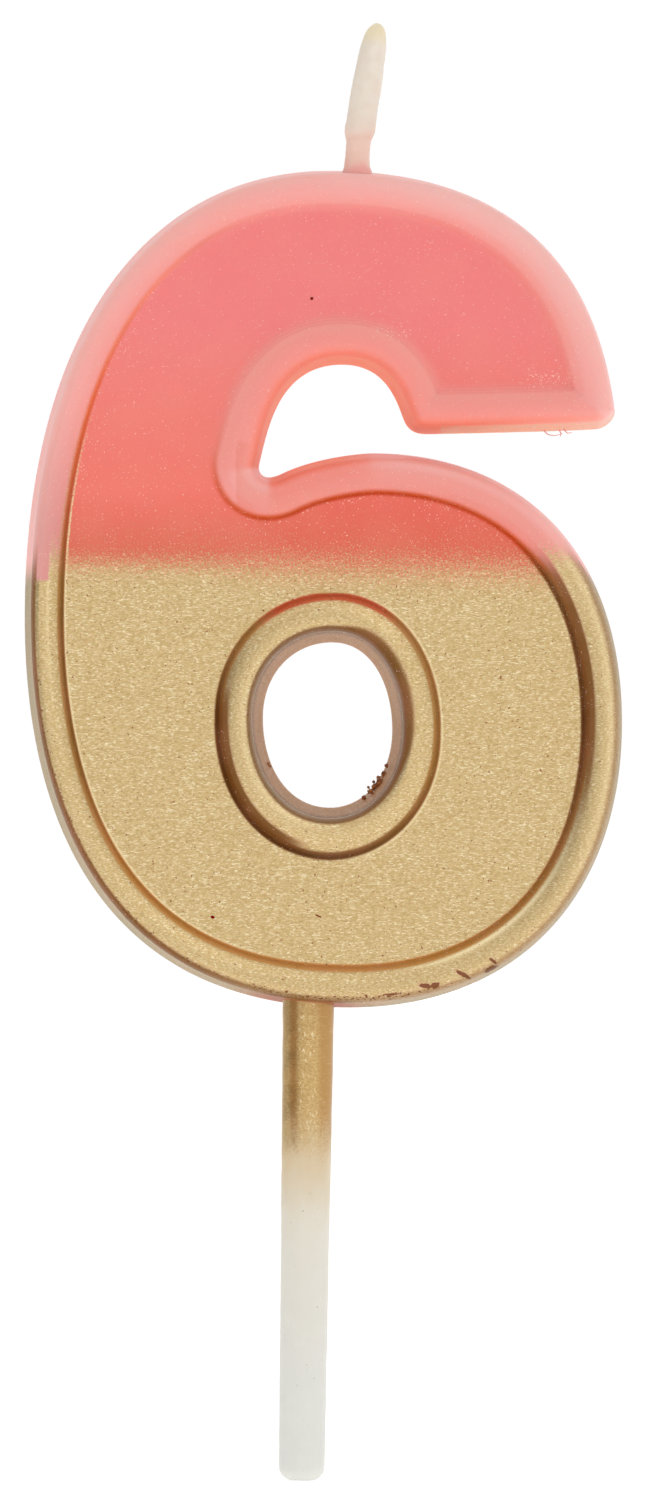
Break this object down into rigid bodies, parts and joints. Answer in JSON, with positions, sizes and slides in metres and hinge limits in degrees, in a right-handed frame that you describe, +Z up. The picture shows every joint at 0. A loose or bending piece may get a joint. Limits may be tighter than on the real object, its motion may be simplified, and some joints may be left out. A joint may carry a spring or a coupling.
{
  "type": "number birthday candle",
  "caption": "Cast wax birthday candle in the shape of the digit six, with a beaded rim, a gold lacquered lower half, a coated wick and a round pick that stands it in a cake.",
  "frame": {"origin": "on the pick's axis where it leaves the lowest point of the wax digit", "axes": "+Z up along the upright digit, the digit's front faces -Y, +X to the right as the digit is read"},
  "size_m": [0.0499, 0.01, 0.1214],
  "materials": {
    "pink_wax": "cast dyed wax, semi-matt and slightly translucent",
    "gold_lacquer": "sprayed fine-flake gold lacquer, satin",
    "ivory_wax": "undyed dipped wax, translucent",
    "cotton": "plaited cotton yarn",
    "white_plastic": "milky moulded plastic with gold overspray at its upper end"
  },
  "bodies": {
    "root": {"wax_body": "pink_wax", "gold_coat": "gold_lacquer", "wick_wax_coat": "ivory_wax", "wick_strand_1": "cotton", "wick_strand_2": "cotton", "wick_strand_3": "cotton", "pick": "white_plastic"}
  },
  "joints": []
}
